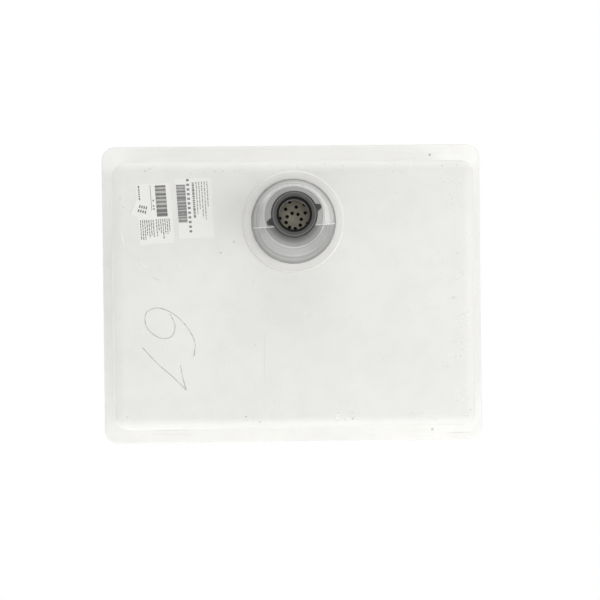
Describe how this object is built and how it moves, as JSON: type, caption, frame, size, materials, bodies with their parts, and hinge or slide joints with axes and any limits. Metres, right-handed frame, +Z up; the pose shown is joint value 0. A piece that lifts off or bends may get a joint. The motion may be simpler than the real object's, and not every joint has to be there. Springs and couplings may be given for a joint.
{
  "type": "granite composite sink",
  "caption": "Single-bowl undermount sink moulded in granite composite, with a lift-out strainer plug and a waste housing whose union nut takes the trap.",
  "frame": {"origin": "centre of the rim's top face, which seats against the underside of the worktop", "axes": "+Z up, +X along the sink's length, +Y towards the rear wall, where the waste is"},
  "size_m": [0.556, 0.436, 0.2855],
  "materials": {
    "composite": "matte",
    "housing_plastic": "semi-gloss",
    "nut_plastic": "satin",
    "rubber": "matte",
    "steel": "brushed",
    "brass": "satin"
  },
  "bodies": {
    "sink": {"sink_bowl": "composite", "waste_cup": "steel", "upper_seal": "rubber", "lower_seal": "rubber", "waste_housing": "housing_plastic", "cup_screws": "steel", "screw_inserts": "brass"},
    "strainer": {"basket_shell": "steel", "basket_seal": "rubber", "basket_stem": "steel", "basket_nut": "steel", "basket_knob": "steel"},
    "washer": {"cone_washer": "rubber"},
    "nut": {"union_nut": "nut_plastic"}
  },
  "joints": [
    {"name": "strainer_lift", "type": "slide", "parent": "sink", "child": "strainer", "axis": [0, 0, 1], "range_m": [0, 0.24]},
    {"name": "washer_slide", "type": "slide", "parent": "sink", "child": "washer", "axis": [0, 0, -1], "range_m": [0, 0.0186]},
    {"name": "nut_turn", "type": "hinge", "parent": "washer", "child": "nut", "pos_m": [0, 0.10217, -0.2745], "axis": [0, 0, -1], "range_deg": [0, 2880]}
  ],
  "couplings": [
    {"joint": "washer_slide", "follows": "nut_turn", "m_per_rad": 0.00036749}
  ]
}
